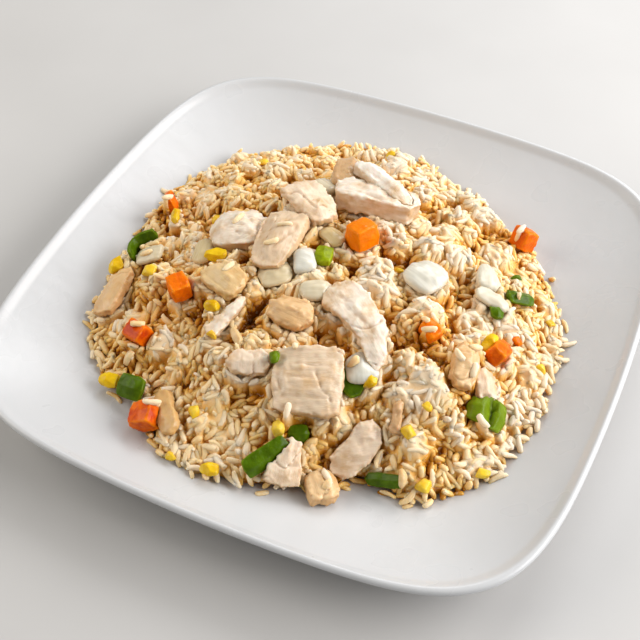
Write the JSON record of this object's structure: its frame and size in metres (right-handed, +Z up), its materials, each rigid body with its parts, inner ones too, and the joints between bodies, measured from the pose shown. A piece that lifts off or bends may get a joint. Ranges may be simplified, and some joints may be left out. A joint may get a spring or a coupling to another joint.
{
  "type": "fried rice plate",
  "caption": "White square coupe plate with round corners, filled with a low mound of chicken fried rice with carrot, corn, onion and green pepper.",
  "frame": {"origin": "on the surface that the plate stands on, under the middle of the plate", "axes": "+Z up; +X and +Y along the sides of the square plate, with -Y towards the viewer"},
  "size_m": [0.26, 0.26, 0.0498],
  "materials": {
    "carrot": "moist cut faces",
    "chicken": "poached, pale and slightly moist",
    "chicken_tan": "stained by soy sauce, moist",
    "corn": "moist and glossy",
    "egg": "soft scrambled, pale",
    "glaze": "smooth white glaze, glossy",
    "onion": "moist and slightly translucent",
    "pepper": "wet and glossy",
    "pepper_lime": "wet and glossy",
    "rice": "moist grains, light honey brown"
  },
  "bodies": {
    "root": {"plate": "glaze", "rice_heap": "rice", "pepper_strip": "pepper", "corn_on_pepper": "corn", "chicken_back_edge": "chicken", "chicken_back_front": "chicken", "chicken_back_top": "chicken", "chicken_flap": "chicken", "chicken_fold": "chicken", "chicken_lobe": "chicken", "chicken_curved": "chicken", "chicken_slab": "chicken", "chicken_oval": "chicken_tan", "chicken_torn": "chicken", "chicken_under_pepper": "chicken", "chicken_right_slab": "chicken", "chicken_chunk": "chicken_tan", "chicken_curl": "chicken_tan", "chicken_curl_white": "chicken", "chicken_left_edge": "chicken_tan", "chicken_cream": "egg", "chicken_strand": "chicken", "chicken_shred_left": "egg", "chicken_wedge": "chicken", "carrot_top": "carrot", "carrot_left": "carrot", "carrot_chip": "carrot", "carrot_left_low": "carrot", "carrot_front": "carrot", "carrot_back_right": "carrot", "carrot_right": "carrot", "carrot_middle": "carrot", "onion_block": "onion", "onion_yellow": "onion", "onion_shell": "onion", "onion_centre": "onion", "onion_large": "onion", "onion_right_upper": "onion", "onion_right_lower": "onion", "onion_front": "onion", "onion_left": "onion", "onion_lobe": "onion", "onion_back": "onion", "pepper_bent": "pepper", "pepper_lime": "pepper_lime", "pepper_right": "pepper", "pepper_right_small": "pepper", "pepper_left_low": "pepper", "pepper_hollow": "pepper", "pepper_by_corn": "pepper", "pepper_sliver": "pepper", "pepper_curved": "pepper", "corn_left": "corn", "corn_left_low": "corn", "corn_by_lobe": "corn", "corn_back_left": "corn", "corn_strand": "corn", "corn_front": "corn", "corn_onion": "corn", "corn_right": "corn"}
  },
  "joints": []
}
